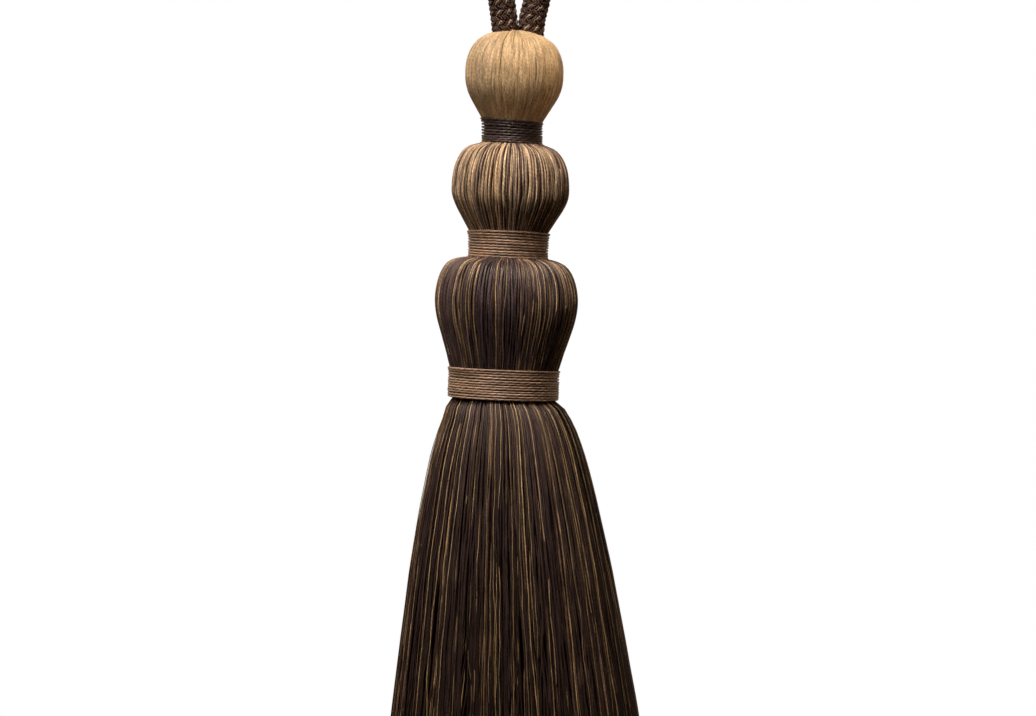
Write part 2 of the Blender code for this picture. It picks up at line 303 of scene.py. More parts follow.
def finish_piece(name, meshes, material, body, nodes):
    """Join meshes into one piece with its material, which rides on the body and stands for CAD nodes."""
    joined = bmesh.new()
    for mesh in meshes:
        joined.from_mesh(mesh)
    whole = bpy.data.meshes.new(name)
    joined.to_mesh(whole)
    joined.free()
    whole.materials.append(material)
    piece = bpy.data.objects.new(name, whole)
    scene.collection.objects.link(piece)
    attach(piece, body)
    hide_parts(*nodes)
    return piece


# About this many fibres show round a yarn, and each shows for a little under one turn of the ply.
FIBRES_ROUND = 9.0
FIBRES_PER_TURN = 1.3
# Each yarn grows a little lighter and darker along its length, over some eight turns of its ply.
DRIFT_PER_TURN = 0.12
# A ridge and a side reach their full tint here, on a cosine and a sine from -1 to 1.
RIDGE_FULL_AT = 0.6
SIDE_FULL_AT = 0.9
# Most of a noise lies between these two values.
NOISE_LOW = 0.3
NOISE_HIGH = 0.7
YARN_ROUGHNESS = 0.45
GOLDEN_SHEEN = (1.0, 0.8, 0.64, 1.0)


def plied_yarn(name, side_painted_shade, groove_painted_shade, gloss, fleck=0.3, twist_depth=0.00004, fibre_relief=0.00008):
    """Spun yarn, whose sides and ply grooves are darkened with painted shade, and whose fibres read darker
    and lighter than its dye.
    """
    material = bpy.data.materials.new(name)
    material.use_nodes = True
    tree = material.node_tree
    tree.nodes.clear()
    dye = add_node(tree, "ShaderNodeAttribute", attribute_name="dye")
    place = add_node(tree, "ShaderNodeUVMap", uv_map="along")
    parts = add_node(tree, "ShaderNodeSeparateXYZ", {"Vector": (place, "UV")})

    # Two plies: their ridges wind round the yarn once for each turn that the UV counts.
    two_plies = add_node(tree, "ShaderNodeMath", {0: (parts, "X"), 1: 2.0}, operation="MULTIPLY")
    phase = add_node(tree, "ShaderNodeMath", {0: (two_plies, 0), 1: (parts, "Y")}, operation="ADD")
    angle = add_node(tree, "ShaderNodeMath", {0: (phase, 0), 1: math.tau}, operation="MULTIPLY")
    wave = add_node(tree, "ShaderNodeMath", {0: (angle, 0)}, operation="COSINE")
    ridge = add_node(tree, "ShaderNodeMapRange", {
        "Value": (wave, 0), "From Min": -1.0, "From Max": RIDGE_FULL_AT,
    })
    # Painted shade darkens the grooves between the plies.
    groove = add_node(tree, "ShaderNodeMapRange", {"Value": (ridge, "Result"), "To Min": groove_painted_shade})

    # The yarn's outward line is a quarter of the way round. Painted shade darkens its sides, where the yarns
    # meet.
    round_yarn = add_node(tree, "ShaderNodeMath", {0: (parts, "X"), 1: math.tau}, operation="MULTIPLY")
    facing = add_node(tree, "ShaderNodeMath", {0: (round_yarn, 0)}, operation="SINE")
    side = add_node(tree, "ShaderNodeMapRange", {
        "Value": (facing, 0), "From Min": 0.0, "From Max": SIDE_FULL_AT, "To Min": side_painted_shade,
    })

    # Fibres run along the yarn, and its dye took a little unevenly down its length.
    fleck_range = {
        "From Min": NOISE_LOW, "From Max": NOISE_HIGH, "To Min": 1.0 - fleck, "To Max": 1.0 + fleck,
    }
    stretched = add_node(tree, "ShaderNodeVectorMath", {
        0: (place, "UV"), 1: (FIBRES_ROUND, FIBRES_PER_TURN, 1.0),
    }, operation="MULTIPLY")
    fibres = add_node(tree, "ShaderNodeTexNoise", {
        "Vector": (stretched, "Vector"), "Scale": 1.0, "Detail": 2.0, "Roughness": 0.6,
    })
    fibre_tint = add_node(tree, "ShaderNodeMapRange", {"Value": (fibres, "Fac"), **fleck_range})
    slow = add_node(tree, "ShaderNodeMath", {0: (parts, "Y"), 1: DRIFT_PER_TURN}, operation="MULTIPLY")
    drift = add_node(tree, "ShaderNodeTexNoise", {
        "W": (slow, 0), "Scale": 1.0, "Detail": 2.0, "Roughness": 0.7,
    }, noise_dimensions="1D")
    drift_tint = add_node(tree, "ShaderNodeMapRange", {"Value": (drift, "Fac"), **fleck_range})

    # fine is the yarn's own uneven tone; coarse is the painted shade of its grooves and sides.
    fine = add_node(tree, "ShaderNodeMath", {0: (fibre_tint, 0), 1: (drift_tint, 0)}, operation="MULTIPLY")
    coarse = add_node(tree, "ShaderNodeMath", {0: (groove, 0), 1: (side, 0)}, operation="MULTIPLY")
    shade = add_node(tree, "ShaderNodeMath", {0: (fine, 0), 1: (coarse, 0)}, operation="MULTIPLY")
    colour = add_node(tree, "ShaderNodeVectorMath", {
        0: (dye, "Color"), "Scale": (shade, 0),
    }, operation="SCALE")
    twist = add_node(tree, "ShaderNodeBump", {"Height": (ridge, "Result"), "Distance": twist_depth})
    bump = add_node(tree, "ShaderNodeBump", {
        "Height": (fibres, "Fac"), "Distance": fibre_relief, "Normal": (twist, "Normal"),
    })
    shader = add_node(tree, "ShaderNodeBsdfPrincipled", {
        "Base Color": (colour, "Vector"), "Normal": (bump, "Normal"), "Roughness": YARN_ROUGHNESS,
        "Specular IOR Level": gloss, "Specular Tint": GOLDEN_SHEEN,
    })
    add_node(tree, "ShaderNodeOutputMaterial", {"Surface": (shader, "BSDF")})
    return material


def smooth_route(points, steps):
    """Points of a Catmull-Rom curve through the route's own points."""
    padded = np.vstack([2 * points[0] - points[1], points, 2 * points[-1] - points[-2]])
    before, start, end, after = padded[:-3], padded[1:-2], padded[2:-1], padded[3:]
    spans = []
    for t in np.arange(steps) / steps:
        cubic = 3 * start - before - 3 * end + after
        square = 2 * before - 5 * start + 4 * end - after
        spans.append(0.5 * (2 * start + (end - before) * t + square * t**2 + cubic * t**3))
    return np.vstack([np.stack(spans, axis=1).reshape(-1, 3), points[-1]])


def even_points(points, count):
    """The same line as points at even distances."""
    run = np.concatenate([[0.0], np.cumsum(np.linalg.norm(np.diff(points, axis=0), axis=1))])
    places = np.linspace(0.0, run[-1], count)
    return np.stack([np.interp(places, run, points[:, axis]) for axis in range(3)], axis=1)


# The braid runs a little way past the crown at both ends, where the upper ball's yarn hides it.
cord_route = np.array(CORD_ROUTE) - (0.0, 0.0, CROWN_DROP)
first_tail = cord_route[0] + unit(cord_route[0] - cord_route[1]) * CORD_TAIL
last_tail = cord_route[-1] + unit(cord_route[-1] - cord_route[-2]) * CORD_TAIL
cord_points = smooth_route(np.vstack([first_tail, cord_route, last_tail]), ROUTE_STEPS)
cord_length = float(np.linalg.norm(np.diff(cord_points, axis=0), axis=1).sum())
cord_rings = round(cord_length / BRAID_LAY * CARRIERS_EACH_WAY * RINGS_PER_STITCH) + 1
cord_line = even_points(cord_points, cord_rings)

# The loop lies nearly in one plane, so that plane's normal carries the frame round it without twist.
cord_along = unit(np.gradient(cord_line, axis=0))
cord_side = unit(np.cross(cord_along, (0.0, 1.0, 0.0)))
cord_front = np.cross(cord_side, cord_along)
run_along = np.linspace(0.0, cord_length, cord_rings)
mid_radius = CORD_DIAMETER / 2 - BRAID_WAVE / 2 - BRAID_YARN_HALF_HEIGHT
lay_angle = math.atan2(math.tau * mid_radius, BRAID_LAY)
braid_draw = random.Random(4)
braid_lines = []
braid_outward = []
braid_dye = []
for way in (1, -1):
    for carrier in range(CARRIERS_EACH_WAY):
        carrier_angle = math.tau * (carrier / CARRIERS_EACH_WAY + way * run_along / BRAID_LAY)
        # In every other column of crossings a carrier lies over those that go the other way.
        radius = mid_radius + way * BRAID_WAVE * np.cos(CARRIERS_EACH_WAY * carrier_angle)
        for end in range(ENDS_PER_CARRIER):
            aside = (end - (ENDS_PER_CARRIER - 1) / 2) * BRAID_END_SPACING
            angle = carrier_angle + aside / math.cos(lay_angle) / mid_radius
            out = cord_side * np.cos(angle)[:, None] + cord_front * np.sin(angle)[:, None]
            braid_lines.append(cord_line + out * radius[:, None])
            braid_outward.append(out)
            is_tan = way == -1 and end == TAN_END
            braid_dye.append(linear(TAN_YARN if is_tan else CORD_BROWN) * braid_draw.uniform(*BRAID_TONES))
braid_mesh = lay_yarns(
    "braid", np.array(braid_lines), np.array(braid_outward), BRAID_YARN_HALF_WIDTH,
    BRAID_YARN_HALF_HEIGHT, np.array(braid_dye), sides=BRAID_YARN_SIDES,
)
# The core takes every fourth ring of the braid.
core_radius = mid_radius - BRAID_WAVE
core_mesh = lay_yarns(
    "core", cord_line[None, ::4], cord_front[None, ::4], core_radius, core_radius,
    linear(DARK_YARN)[None] * CORE_SHADE, sides=CORE_SIDES,
)
# Braided rayon: a low satin sheen on each stitch, and painted shade that darkens the lines where the yarns
# meet.
braided_rayon = plied_yarn("braided_rayon", side_painted_shade=0.45, groove_painted_shade=0.6, gloss=0.15, twist_depth=0.00007)
cord = finish_piece("hanging_cord", [braid_mesh, core_mesh], braided_rayon, "root", ["cord_loop"])

# The upper ball: golden tan rayon yarn laid from the crown down over the bundle, side by side, and
# caught under the first binding. A rounded under-form of the same yarn, in a darker gold of painted
# shade, fills the gaps between them.
HEAD_LEAN = math.radians(2.0)
CROWN_X = -0.0011
UPPER_TOP = 0.0
UPPER_HEIGHT = 0.0294
UPPER_YARNS = 176
UPPER_THICKNESS_RANGE = (0.8, 1.2)
UPPER_FORM_INSET = 0.0007
# The ball's outline from the crown down: depth under the crown, radius.
UPPER_OUTLINE = [
    (-0.0012, 0.0018), (-0.0012, 0.0040), (-0.0004, 0.0076), (0.0010, 0.0106), (0.0030, 0.0133),
    (0.0064, 0.0154), (0.0102, 0.0165), (0.0140, 0.0167), (0.0176, 0.0164), (0.0212, 0.0152),
    (0.0252, 0.0129), (0.0294, 0.0104), (0.0312, 0.0096),
]
GOLD_YARN = "#c9a67a"
GOLD_IN_SHADE = "#b99365"
# Each ball sits a little higher on its left side than the head's own lean gives. This fades in from
# the ball's top over a part of its length, and out again towards its foot.
SHOULDER_TILT = math.tan(math.radians(1.3))
TILT_FULL_AT = 0.2
# How a yarn strays: its first wave is this part of a whole one, and its waves have these strengths.
FIRST_WAVE = 0.7
WAVE_STRENGTHS = (0.3, 1.0)
WAVE_SCALE = 1.4
OUTLINE_STEPS = 8
FORM_STEPS = 96
MERGE_DISTANCE = 1e-6
SEED_RANGE = (1, 9999)
BALL_YARN_HALF_HEIGHT = 0.00036
BALL_YARN_SIDES = 8
NARROWEST_HALF_WIDTH = 0.00022
WIDTH_RANGE = (0.85, 1.15)
# These two are parts of the room that one yarn has round the ball.
YARN_SHIFT = 0.4
YARN_WANDER = 0.8
WANDER_WAVES = 6
LIE_WAVES = 3
PILED_DEPTH = 0.0003
# How far a yarn's hue goes each way: to orange with more red and less blue, or to a dusty mauve.
RED_SWING = 0.02
GREEN_SWING = 0.015
BLUE_SWING = 0.07
HUE_LIMIT = 2.0
head = Matrix.Translation((CROWN_X, 0.0, -CROWN_DROP)) @ Matrix.Rotation(HEAD_LEAN, 4, "Y")
head_turn = np.array(head.to_3x3())
head_place = np.array(head.translation)


def in_head(points):
    """Points of the upright head carried to where the leaning head holds them."""
    return points @ head_turn.T + head_place


def soft_waves(draw, count, places, waves):
    """A smooth uneven line for each of count yarns, between about -1 and 1, at each place from 0 to 1."""
    total = np.zeros((count, len(places)))
    for wave in range(1, waves + 1):
        phase = draw.uniform(0, math.tau, (count, 1))
        strength = draw.uniform(*WAVE_STRENGTHS, (count, 1))
        total += strength / wave * np.sin(math.tau * wave * FIRST_WAVE * places + phase)
    return total / WAVE_SCALE


def chance_seed(draw):
    """A seed for where the plies of a set of yarns start."""
    return int(draw.integers(*SEED_RANGE))


def under_form(name, outline, top, inset, hex_colour):
    """The turned form under a ball's yarns, set in square to its outline of (depth, radius) rows."""
    rows = np.array([(radius, -depth) for depth, radius in outline])
    slope = unit(np.gradient(rows, axis=0))
    rows = rows - inset * np.stack([-slope[:, 1], slope[:, 0]], axis=1)
    bm = bmesh.new()
    points = [bm.verts.new((max(float(radius), 0.0), 0.0, float(height))) for radius, height in rows]
    for pair in zip(points, points[1:]):
        bm.edges.new(pair)
    bmesh.ops.spin(
        bm, geom=bm.verts[:] + bm.edges[:], cent=(0, 0, 0), axis=(0, 0, 1), angle=math.tau,
        steps=FORM_STEPS, use_merge=True,
    )
    bmesh.ops.remove_doubles(bm, verts=bm.verts[:], dist=MERGE_DISTANCE)
    bmesh.ops.holes_fill(bm, edges=[edge for edge in bm.edges if edge.is_boundary], sides=0)
    bmesh.ops.recalc_face_normals(bm, faces=bm.faces[:])
    bmesh.ops.translate(bm, verts=bm.verts[:], vec=(0.0, 0.0, -top))
    bmesh.ops.transform(bm, matrix=head, verts=bm.verts[:])
    mesh = bpy.data.meshes.new(name)
    bm.to_mesh(mesh)
    bm.free()
    mesh.shade_smooth()
    # All of the form reads as the outward line of a yarn, a quarter of the way round.
    outward_line = mesh.uv_layers.new(name="along").data
    outward_line.foreach_set("uv", np.tile([0.25, 0.0], len(mesh.loops)))
    tint = mesh.attributes.new("dye", "FLOAT_COLOR", "POINT")
    tint.data.foreach_set("color", np.tile([*linear(hex_colour), 1.0], len(mesh.vertices)))
    return mesh


def meridian_yarns(name, outline, top, dye, thickness, draw, fill=1.0, uneven=0.0003, rings=26):
    """Yarns laid down over a ball, from its (depth, radius) rows: narrower and piled where they crowd."""
    count = len(dye)
    rows = np.array([(radius, 0.0, -depth) for depth, radius in outline])
    course = even_points(smooth_route(rows, OUTLINE_STEPS), rings)
    slope = unit(np.gradient(course, axis=0))
    normal_r, normal_z = -slope[:, 2], slope[:, 0]
    radius, height = course[:, 0], course[:, 2]
    widest = radius.max()
    places = np.linspace(0.0, 1.0, rings)
    tilt = SHOULDER_TILT * (1.0 - places) * np.minimum(1.0, places / TILT_FULL_AT)
    share = np.cumsum(thickness) / np.sum(thickness)
    angle = math.tau * (share + draw.uniform(-YARN_SHIFT, YARN_SHIFT, count) / count)
    wander = soft_waves(draw, count, places, WANDER_WAVES) * YARN_WANDER * math.tau / count
    angle = angle[:, None] + wander
    crowding = 1.0 - radius / widest
    lie = 0.5 + 0.5 * soft_waves(draw, count, places, LIE_WAVES)
    piled = draw.uniform(0.0, 1.0, (count, 1)) * PILED_DEPTH * crowding
    sink = lie * uneven + piled + BALL_YARN_HALF_HEIGHT
    ray = np.stack([np.cos(angle), np.sin(angle), np.zeros_like(angle)], axis=-1)
    out = ray * normal_r[None, :, None]
    out[..., 2] = normal_z[None, :]
    lines = ray * radius[None, :, None]
    lines[..., 2] = height[None, :] - top - lines[..., 0] * tilt
    lines = lines - out * sink[..., None]
    fair_share = math.pi * radius / np.sum(thickness) * fill
    width_share = np.maximum(fair_share, NARROWEST_HALF_WIDTH)[None] * thickness[:, None]
    half_width = width_share * draw.uniform(*WIDTH_RANGE, (count, 1))
    return lay_yarns(
        name, in_head(lines), out @ head_turn.T, half_width, BALL_YARN_HALF_HEIGHT, dye,
        sides=BALL_YARN_SIDES, seed=chance_seed(draw),
    )


def drawn_dyes(draw, hex_colours, spread):
    """One linear colour for each named hex colour, each a little lighter or darker by chance."""
    colours = np.array([linear(hex_colour) for hex_colour in hex_colours])
    colours = colours * draw.uniform(1.0 - spread, 1.0 + spread, (len(colours), 1))
    hue = np.clip(draw.normal(0.0, 1.0, len(colours)), -HUE_LIMIT, HUE_LIMIT)
    red = 1.0 + RED_SWING * hue
    green = 1.0 - GREEN_SWING * np.abs(hue)
    blue = 1.0 - BLUE_SWING * hue
    return colours * np.stack([red, green, blue], axis=1)


upper_draw = np.random.default_rng(21)
upper_dyes = drawn_dyes(upper_draw, [GOLD_YARN] * UPPER_YARNS, spread=0.15)
upper_thickness = upper_draw.uniform(*UPPER_THICKNESS_RANGE, UPPER_YARNS)
upper_yarns = meridian_yarns(
    "upper_yarns", UPPER_OUTLINE, UPPER_TOP, upper_dyes, upper_thickness, upper_draw, fill=1.85,
    uneven=0.00015,
)
upper_form = under_form("upper_form", UPPER_OUTLINE, UPPER_TOP, UPPER_FORM_INSET, GOLD_IN_SHADE)
# Rayon yarn in pale gold, laid close: a smooth soft ball with long fine fibres and hardly a groove, with only
# light painted shade at its sides and grooves.
gold_rayon = plied_yarn(
    "gold_rayon_yarn", side_painted_shade=0.8, groove_painted_shade=0.88, gloss=0.25, fleck=0.34, fibre_relief=0.00015
)
finish_piece("upper_ball", [upper_yarns, upper_form], gold_rayon, "root", ["ball_upper"])

# The upper binding: dark plied cotton wound tightly round the neck in ten turns, each laid beside the
# last. Its first turns lie up over the foot of the ball above, and most so on the left.
GAP = 0.0003
UPPER_BINDING_TOP = UPPER_HEIGHT + GAP
UPPER_BINDING_HEIGHT = 0.0081
UPPER_BINDING_RADIUS = 0.0103
BINDING_DARK = "#4c3c3b"
BINDING_PLY_PITCH = 0.0028
BINDING_YARN_SIDES = 8
TO_THE_LEFT = math.radians(-160)
START_AT_THE_BACK = math.pi / 2
RINGS_PER_TURN = 64
PRESSED_WIDTH = 0.9
BALL_FOOT_SLOPE = 0.6
FIRST_TURN_BULGE = 0.00025
# How far a turn strays down the neck and outwards, and in how many waves over the whole binding.
TURN_STRAY_DOWN = 0.0002
STRAY_DOWN_WAVES = 40
TURN_STRAY_OUT = 0.00012
STRAY_OUT_WAVES = 50
SLEEVE_WALL = 0.0012
SLEEVE_SHORT_BY = 0.0004
SLEEVE_INSET = 0.0007


def wound_binding(name, top, height, radius, turns, hex_colour, yarn_half, draw, rise, rise_towards):
    """One long yarn wound down a neck in a helix, whose first turns rise over the foot of a ball.

    They rise furthest on the side that the angle rise_towards points to."""
    rings = turns * RINGS_PER_TURN + 1
    turn_count = np.linspace(0.0, turns, rings)
    angle = turn_count * math.tau + START_AT_THE_BACK
    pitch = (height - 2 * yarn_half) / (turns - 1)
    # The first and last turn close on themselves, level with the rims.
    level = np.clip(turn_count - 0.5, 0.0, turns - 1.0)
    lift = rise * (0.5 + 0.5 * np.cos(angle - rise_towards)) * (1.0 - level / (turns - 1)) ** 2
    drop = yarn_half + level * pitch - lift
    drop = drop + soft_waves(draw, 1, turn_count / turns, STRAY_DOWN_WAVES)[0] * TURN_STRAY_DOWN
    lie = radius - yarn_half + soft_waves(draw, 1, turn_count / turns, STRAY_OUT_WAVES)[0] * TURN_STRAY_OUT
    lie = lie + lift * BALL_FOOT_SLOPE + FIRST_TURN_BULGE * np.exp(-level ** 2)
    ray = np.stack([np.cos(angle), np.sin(angle), np.zeros(rings)], axis=1)
    line = ray * lie[:, None] + np.array([0.0, 0.0, -1.0]) * (top + drop)[:, None]
    return lay_yarns(
        name, in_head(line)[None], (ray @ head_turn.T)[None], yarn_half * PRESSED_WIDTH, yarn_half,
        linear(hex_colour)[None], sides=BINDING_YARN_SIDES, pitch=BINDING_PLY_PITCH, seed=chance_seed(draw),
    )


def binding_sleeve(name, top, height, radius, hex_colour):
    """The tight inner turns, as one sleeve that closes the gaps between the outer turns."""
    inner = radius - SLEEVE_WALL
    foot = height - SLEEVE_SHORT_BY
    outline = [(SLEEVE_SHORT_BY, inner), (SLEEVE_SHORT_BY, radius), (foot, radius), (foot, inner)]
    return under_form(name, outline, top, SLEEVE_INSET, hex_colour)


binding_draw = np.random.default_rng(5)
upper_turns = wound_binding(
    "upper_turns", UPPER_BINDING_TOP, UPPER_BINDING_HEIGHT, UPPER_BINDING_RADIUS, turns=10,
    hex_colour=BINDING_DARK, yarn_half=0.00044, draw=binding_draw, rise=0.0010, rise_towards=TO_THE_LEFT,
)
# The sleeve takes the darker DARK_YARN colour: painted shade between the turns.
upper_sleeve = binding_sleeve(
    "upper_sleeve", UPPER_BINDING_TOP, UPPER_BINDING_HEIGHT, UPPER_BINDING_RADIUS, DARK_YARN
)
# Dark plied cotton: hard round turns, made nearly black between them by painted shade, with small glints on
# the plies.
dark_cotton = plied_yarn(
    "dark_plied_cotton", side_painted_shade=0.16, groove_painted_shade=0.45, gloss=0.8, fleck=0.5, twist_depth=0.00012
)
finish_piece(
    "upper_binding", [upper_turns, upper_sleeve], dark_cotton, "root", ["binding_upper"]
)

# The middle ball: rayon yarns in golden tan, warm brown and purplish brown, laid down over the bundle
# in narrow stripes of one to three yarns, and caught under the second binding.
MIDDLE_TOP = UPPER_BINDING_TOP + UPPER_BINDING_HEIGHT + GAP
MIDDLE_HEIGHT = 0.0291
MIDDLE_YARNS = 250
MIDDLE_GOLD_THICKNESS = 1.1
MIDDLE_DARK_THICKNESS = 0.7
MIDDLE_THICKNESS_RANGE = (0.7, 1.3)
MIDDLE_FORM_INSET = 0.0010
MIDDLE_OUTLINE = [
    (-0.0016, 0.0098), (-0.0010, 0.0107), (-0.0005, 0.0122), (0.0001, 0.0141), (0.0017, 0.0163),
    (0.0042, 0.0180), (0.0080, 0.0194), (0.0132, 0.0200), (0.0172, 0.0198), (0.0210, 0.0183),
    (0.0248, 0.0161), (0.0291, 0.0135), (0.0309, 0.0127),
]
ANTIQUE_GOLD = "#d2ad84"
WARM_BROWN = "#7a5c4a"
PURPLE_BROWN = "#665147"
BROWN_IN_SHADE = "#4e382a"
# The golden ratio keeps yarns of one colour apart, and the chance added to it brings some together.
GOLDEN_RATIO = 0.618034
CHANCE_IN_ORDER = 0.4


def mixed_dyes(draw, order, gold_share, brown_share, gold_dye, dark_dye, spread):
    """Which yarns are gold, and each yarn's linear colour: gold, warm brown or dark, by its order."""
    lot = (order * GOLDEN_RATIO + draw.uniform(0.0, CHANCE_IN_ORDER, len(order))) % 1.0
    gold = lot < gold_share
    names = np.where(gold, gold_dye, np.where(lot < gold_share + brown_share, WARM_BROWN, dark_dye))
    return gold, drawn_dyes(draw, names, spread)


middle_draw = np.random.default_rng(33)
middle_gold, middle_dyes = mixed_dyes(
    middle_draw, np.arange(MIDDLE_YARNS), gold_share=0.57, brown_share=0.26, gold_dye=ANTIQUE_GOLD,
    dark_dye=PURPLE_BROWN, spread=0.35,
)
middle_thickness = np.where(middle_gold, MIDDLE_GOLD_THICKNESS, MIDDLE_DARK_THICKNESS)
middle_thickness = middle_thickness * middle_draw.uniform(*MIDDLE_THICKNESS_RANGE, MIDDLE_YARNS)
middle_yarns = meridian_yarns(
    "middle_yarns", MIDDLE_OUTLINE, MIDDLE_TOP, middle_dyes, middle_thickness, middle_draw, fill=1.08
)
middle_form = under_form("middle_form", MIDDLE_OUTLINE, MIDDLE_TOP, MIDDLE_FORM_INSET, BROWN_IN_SHADE)
# Rayon yarn in several dyes: each yarn reads apart from the next by the painted shade at its sides, with a
# soft sheen on its back.
mixed_rayon = plied_yarn(
    "mixed_rayon_yarn", side_painted_shade=0.45, groove_painted_shade=0.72, gloss=0.35, fleck=0.45, fibre_relief=0.00015
)
finish_piece("middle_ball", [middle_yarns, middle_form], mixed_rayon, "root", ["ball_middle"])

# The middle binding: ten turns of tan plied cotton, wound round the neck as the upper one is. Its first
# turns rise most at the front.
MIDDLE_BINDING_TOP = MIDDLE_TOP + MIDDLE_HEIGHT + GAP
MIDDLE_BINDING_HEIGHT = 0.0085
MIDDLE_BINDING_RADIUS = 0.0136
BINDING_TAN = "#bf977a"
TO_THE_FRONT = math.radians(-95)
middle_turns = wound_binding(
    "middle_turns", MIDDLE_BINDING_TOP, MIDDLE_BINDING_HEIGHT, MIDDLE_BINDING_RADIUS, turns=10,
    hex_colour=BINDING_TAN, yarn_half=0.00046, draw=binding_draw, rise=0.0013, rise_towards=TO_THE_FRONT,
)
middle_sleeve = binding_sleeve(
    "middle_sleeve", MIDDLE_BINDING_TOP, MIDDLE_BINDING_HEIGHT, MIDDLE_BINDING_RADIUS, BROWN_IN_SHADE
)
# Tan plied cotton: rope-like turns whose slanting plies show, with soft brown lines of painted shade between
# them and in the ply grooves.
tan_cotton = plied_yarn(
    "tan_plied_cotton", side_painted_shade=0.5, groove_painted_shade=0.72, gloss=0.7, fleck=0.4, twist_depth=0.0001
)
finish_piece(
    "middle_binding", [middle_turns, middle_sleeve], tan_cotton, "root", ["binding_middle"]
)

# The lower ball: dark dusky brown rayon yarns with thin single gold yarns laid in among them, down over
# the bundle and under the lower binding.
LOWER_TOP = MIDDLE_BINDING_TOP + MIDDLE_BINDING_HEIGHT + GAP
LOWER_HEIGHT = 0.0368
LOWER_YARNS = 250
LOWER_GOLD_THICKNESS = 0.6
LOWER_DARK_THICKNESS = 1.05
LOWER_THICKNESS_RANGE = (0.75, 1.25)
LOWER_FORM_INSET = 0.0011
LOWER_OUTLINE = [
    (-0.0016, 0.0126), (-0.0006, 0.0135), (-0.0002, 0.0157), (0.0006, 0.0182), (0.0020, 0.0205),
    (0.0050, 0.0225), (0.0094, 0.0239), (0.0145, 0.0244), (0.0200, 0.0237), (0.0262, 0.0219),
    (0.0316, 0.0202), (0.0368, 0.0187), (0.0386, 0.0180),
]
BRIGHT_GOLD = "#dcb17c"
DUSKY_BROWN = "#594643"
SHADED_CORE = "#1c120d"
lower_draw = np.random.default_rng(47)
lower_gold, lower_dyes = mixed_dyes(
    lower_draw, np.arange(LOWER_YARNS), gold_share=0.22, brown_share=0.16, gold_dye=BRIGHT_GOLD,
    dark_dye=DUSKY_BROWN, spread=0.4,
)
lower_thickness = np.where(lower_gold, LOWER_GOLD_THICKNESS, LOWER_DARK_THICKNESS)
lower_thickness = lower_thickness * lower_draw.uniform(*LOWER_THICKNESS_RANGE, LOWER_YARNS)
lower_yarns = meridian_yarns("lower_yarns", LOWER_OUTLINE, LOWER_TOP, lower_dyes, lower_thickness, lower_draw)
lower_form = under_form("lower_form", LOWER_OUTLINE, LOWER_TOP, LOWER_FORM_INSET, SHADED_CORE)
# Dark rayon yarn: painted shade makes it nearly black at its sides, with a faint warm sheen along the back of
# each yarn.
dark_rayon = plied_yarn(
    "dark_rayon_yarn", side_painted_shade=0.32, groove_painted_shade=0.7, gloss=0.6, fleck=0.45, fibre_relief=0.00014
)
finish_piece("lower_ball", [lower_yarns, lower_form], dark_rayon, "root", ["ball_lower"])

# The lower binding: twelve turns of the same tan cotton, wound over the root of the skirt.
LOWER_BINDING_TOP = LOWER_TOP + LOWER_HEIGHT + GAP
LOWER_BINDING_HEIGHT = 0.0104
LOWER_BINDING_RADIUS = 0.0189
lower_turns = wound_binding(
    "lower_turns", LOWER_BINDING_TOP, LOWER_BINDING_HEIGHT, LOWER_BINDING_RADIUS, turns=12,
    hex_colour=BINDING_TAN, yarn_half=0.00045, draw=binding_draw, rise=0.0003, rise_towards=TO_THE_FRONT,
)
lower_sleeve = binding_sleeve(
    "lower_sleeve", LOWER_BINDING_TOP, LOWER_BINDING_HEIGHT, LOWER_BINDING_RADIUS, BROWN_IN_SHADE
)
finish_piece(
    "lower_binding", [lower_turns, lower_sleeve], tan_cotton, "root", ["binding_lower"]
)

# The skirt: 1,700 cut rayon yarns in three layers, a face, a second layer behind it and a core, dark
# with thin gold ones among them. They hang plumb from the lower binding and spread as they fall, and
# the outer ones gather into soft locks.
SKIRT_ROOT_UP = 0.0030
# Down the skirt from the binding: depth, radius, and how far its middle has moved to the right.
SKIRT_FLARE = np.array([
    (0.0000, 0.0188, 0.0001), (0.0009, 0.0195, 0.0004), (0.0022, 0.0200, 0.0008), (0.0042, 0.0208, 0.0011),
    (0.0072, 0.0222, 0.0014), (0.0112, 0.0239, 0.0015), (0.0162, 0.0256, 0.0016), (0.0212, 0.0270, 0.0017),
    (0.0362, 0.0305, 0.0021), (0.0562, 0.0345, 0.0026), (0.0762, 0.0377, 0.0031), (0.1080, 0.0425, 0.0039),
    (0.1465, 0.0468, 0.0046),
])
SKIRT_YARN_HALF = 0.00036
CORE_YARN_HALF = 0.0006
THIN_GOLD = 0.45
SKIRT_YARN_RANGE = (0.8, 1.2)
SKIRT_BROWN_SHARE = 0.04
SKIRT_DYE_SPREAD = 0.5
SHORTEST_YARN = 0.985
# The rings of a yarn lie closer together near the binding, where it bends most.
RING_CROWDING = 1.2
ROOT_INSIDE_BINDING = 0.0022
# At the hem the outer quarter of the bundle's cross-section lies at the skirt's outside.
HEM_PACKING = 0.75
GOLDEN_ANGLE = 2.399963
SKIRT_WANDER = 0.0014
SKIRT_WANDER_WAVES = 7
HEM_SCATTER = 0.0010
RIPPLE_LENGTHS = (0.013, 0.030)
RIPPLE_DEPTHS = (0.0001, 0.00035)
# Locks: how many lie round the skirt, how far they draw their yarns together, and where they start.
COARSE_LOCKS = 17
COARSE_LOCK_PULL = 0.018
COARSE_LOCK_START = 2.2
FINE_LOCKS = 29
FINE_LOCK_PULL = 0.012
FINE_LOCK_START = 0.4
# Folds: how many lie round the skirt, how deep they are, and how the broad ones start and turn.
BROAD_FOLDS = 9
BROAD_FOLD_DEPTH = 0.0005
BROAD_FOLD_START = 1.0
BROAD_FOLD_TURN = 2.0
NARROW_FOLDS = 23
NARROW_FOLD_DEPTH = 0.0004
LIE_DEPTH = 0.0007
SKIRT_LIE_WAVES = 6
LEAN_ENDS_AT = 0.008
foot = LOWER_BINDING_TOP + LOWER_BINDING_HEIGHT
skirt_root = np.array(head @ Vector((0.0, 0.0, -foot)))


